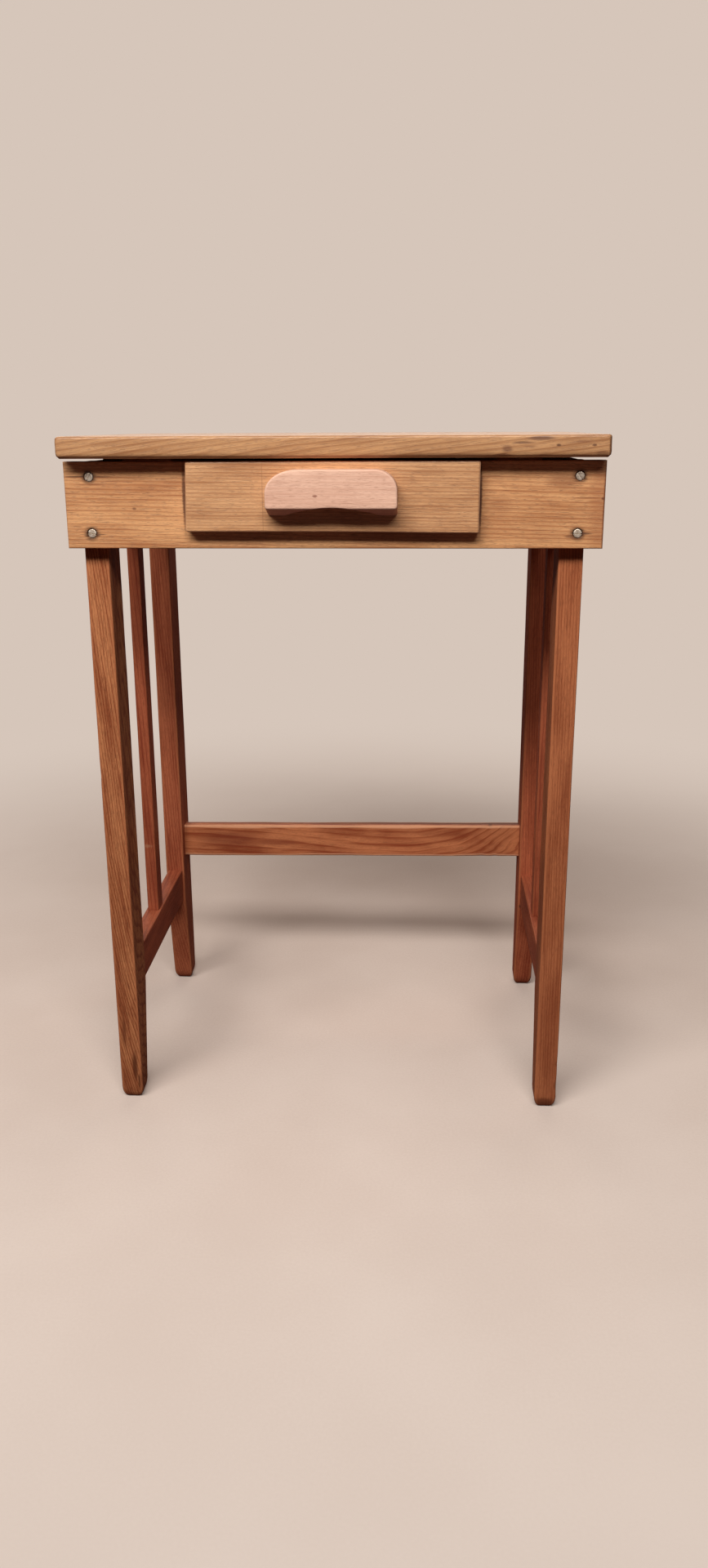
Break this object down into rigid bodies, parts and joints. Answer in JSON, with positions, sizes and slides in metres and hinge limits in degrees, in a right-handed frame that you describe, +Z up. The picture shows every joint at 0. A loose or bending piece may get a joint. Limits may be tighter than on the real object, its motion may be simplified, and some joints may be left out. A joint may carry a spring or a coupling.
{
  "type": "writing desk",
  "caption": "Small oak writing desk with slatted end frames, a low rear stretcher and a shallow drawer with a curved wooden pull under a flat top.",
  "frame": {"origin": "middle of the floor area that the desk covers, on the floor", "axes": "+Z up, -Y towards the user and the way the drawer opens, +X to the user's right"},
  "size_m": [0.542, 0.4156, 0.757],
  "materials": {
    "golden_oak": "thin satin varnish over planed oak",
    "brown_oak": "stained oak with a thin satin varnish",
    "pale_oak": "sanded wood, nearly matt",
    "inner_wood": "unfinished planed wood",
    "steel": "dulled steel"
  },
  "bodies": {
    "desk_frame": {"top_panel": "golden_oak", "front_board": "golden_oak", "rear_board": "brown_oak", "front_leg_left": "brown_oak", "front_leg_right": "brown_oak", "rear_leg_left": "brown_oak", "rear_leg_right": "brown_oak", "upper_rail_left": "brown_oak", "upper_rail_right": "brown_oak", "side_stretcher_left": "brown_oak", "side_stretcher_right": "brown_oak", "slat_left": "brown_oak", "slat_right": "brown_oak", "top_batten_left": "inner_wood", "top_batten_right": "inner_wood", "drawer_guide_left": "inner_wood", "drawer_guide_right": "inner_wood", "guide_cleat_left": "inner_wood", "guide_cleat_right": "inner_wood", "runner_ledge_left": "inner_wood", "runner_ledge_right": "inner_wood", "rear_stretcher": "brown_oak", "drawer_kicker": "inner_wood", "front_board_screw_1": "steel", "front_board_screw_2": "steel", "front_board_screw_3": "steel", "front_board_screw_4": "steel", "rear_board_screw_1": "steel", "rear_board_screw_2": "steel", "rear_board_screw_3": "steel", "rear_board_screw_4": "steel", "batten_leg_screw_1": "steel", "batten_leg_screw_2": "steel", "batten_leg_screw_3": "steel", "batten_leg_screw_4": "steel", "batten_top_screw_1": "steel", "batten_top_screw_2": "steel", "batten_top_screw_3": "steel", "batten_top_screw_4": "steel", "cleat_screw_1": "steel", "cleat_screw_2": "steel", "cleat_screw_3": "steel", "cleat_screw_4": "steel", "kicker_screw_1": "steel", "kicker_screw_2": "steel"},
    "drawer": {"drawer_front": "golden_oak", "drawer_pull": "pale_oak", "drawer_inner_front": "inner_wood", "drawer_side_left": "inner_wood", "drawer_side_right": "inner_wood", "drawer_back": "inner_wood", "drawer_bottom": "inner_wood", "drawer_front_screw_1": "steel", "drawer_front_screw_2": "steel", "pull_screw_1": "steel", "pull_screw_2": "steel", "drawer_bottom_nail_1": "steel", "drawer_bottom_nail_2": "steel", "drawer_bottom_nail_3": "steel"}
  },
  "joints": [
    {"name": "drawer_slide", "type": "slide", "parent": "desk_frame", "child": "drawer", "axis": [0, -1, 0], "range_m": [0, 0.24]}
  ]
}
